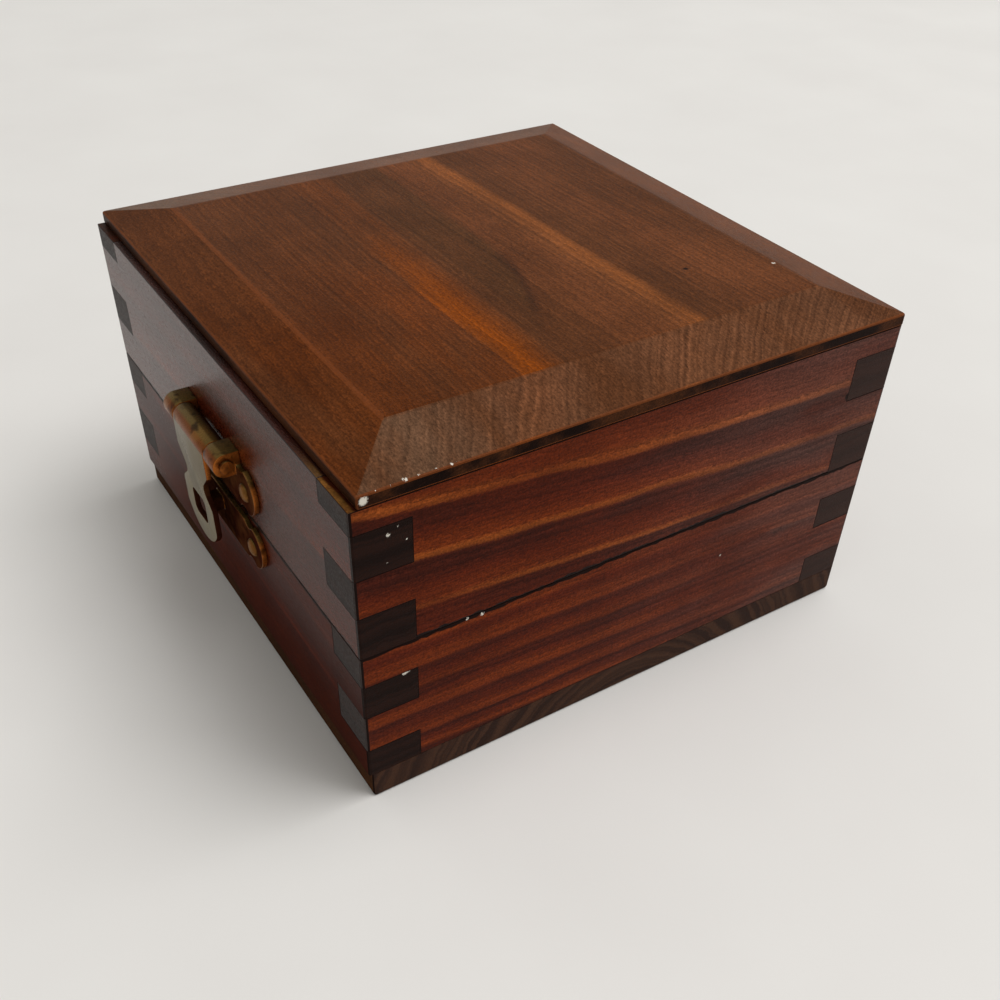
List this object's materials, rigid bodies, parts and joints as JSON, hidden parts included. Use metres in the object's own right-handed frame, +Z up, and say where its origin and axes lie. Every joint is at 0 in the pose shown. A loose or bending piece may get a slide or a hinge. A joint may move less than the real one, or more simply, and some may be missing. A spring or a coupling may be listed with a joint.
{
  "type": "wooden trinket box",
  "caption": "Square stained-wood keepsake box with a finger-jointed base and lid, a bevelled top panel, a brass swing hasp at the front and butt hinges at the back.",
  "frame": {"origin": "middle of the underside of the box's wooden body", "axes": "+Z up, -Y towards the hasp at the front, +X to the right when facing the hasp"},
  "size_m": [0.1, 0.107, 0.0603],
  "materials": {
    "stained_wood": "satin varnish over red-brown stain",
    "panel_wood": "satin varnish over dark brown stain",
    "antique_brass": "antiqued, polished on raised edges"
  },
  "bodies": {
    "base": {"base_front_board": "stained_wood", "base_back_board": "stained_wood", "base_left_board": "stained_wood", "base_right_board": "stained_wood", "bottom_panel": "panel_wood", "catch_plate": "antique_brass", "catch_plate_brads": "antique_brass", "left_hinge_base_leaf": "antique_brass", "left_hinge_pin": "antique_brass", "right_hinge_base_leaf": "antique_brass", "right_hinge_pin": "antique_brass", "hinge_base_brads": "antique_brass"},
    "lid": {"lid_front_board": "stained_wood", "lid_back_board": "stained_wood", "lid_left_board": "stained_wood", "lid_right_board": "stained_wood", "lid_panel": "panel_wood", "latch_plate": "antique_brass", "latch_pin": "antique_brass", "latch_plate_brads": "antique_brass", "left_hinge_lid_leaf": "antique_brass", "right_hinge_lid_leaf": "antique_brass", "hinge_lid_brads": "antique_brass"},
    "hasp": {"hasp_tongue": "antique_brass"}
  },
  "joints": [
    {"name": "lid_hinge", "type": "hinge", "parent": "base", "child": "lid", "pos_m": [0, 0.0514, 0.0302], "axis": [-1, 0, 0], "range_deg": [0, 180]},
    {"name": "hasp_swing", "type": "hinge", "parent": "lid", "child": "hasp", "pos_m": [0, -0.0519, 0.0404], "axis": [-1, 0, 0], "range_deg": [-5, 150]}
  ]
}
